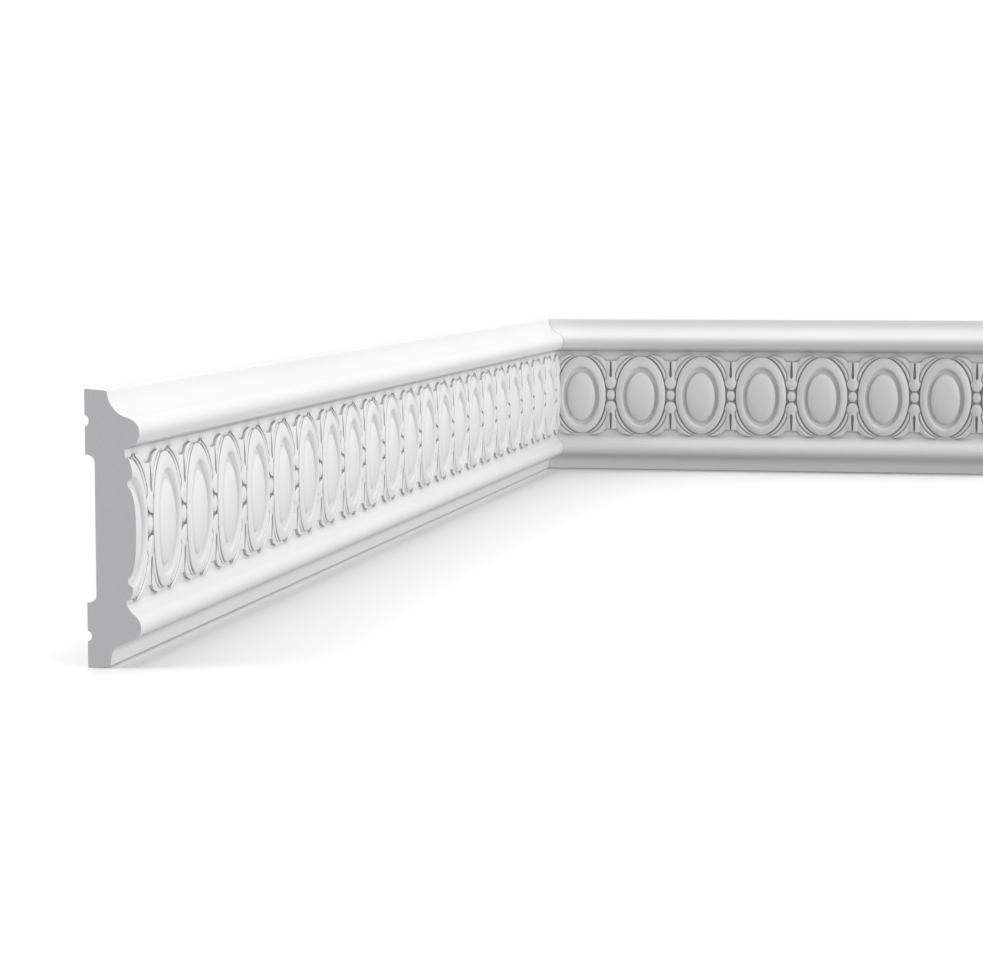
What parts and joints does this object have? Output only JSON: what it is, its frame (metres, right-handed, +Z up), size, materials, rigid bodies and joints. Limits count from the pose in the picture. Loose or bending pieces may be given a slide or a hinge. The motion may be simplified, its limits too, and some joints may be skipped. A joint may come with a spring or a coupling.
{
  "type": "chair rail",
  "caption": "Moulded chair rail mitred round an inside corner, its frieze of raised ovals, beads and split leaves set between a crown and a foot torus.",
  "frame": {"origin": "under the middle of the plan's bounding box, on the level of the lower back edges that the rail stands on", "axes": "+Z up; the back length runs along +X from the inside corner, and the left length comes forward along -Y from it"},
  "size_m": [0.3, 0.883, 0.1],
  "materials": {
    "primer": "satin white primer over moulded foam, bare grey-white at the saw cuts"
  },
  "bodies": {
    "root": {"left_wall_rail": "primer", "back_wall_rail": "primer"}
  },
  "joints": []
}
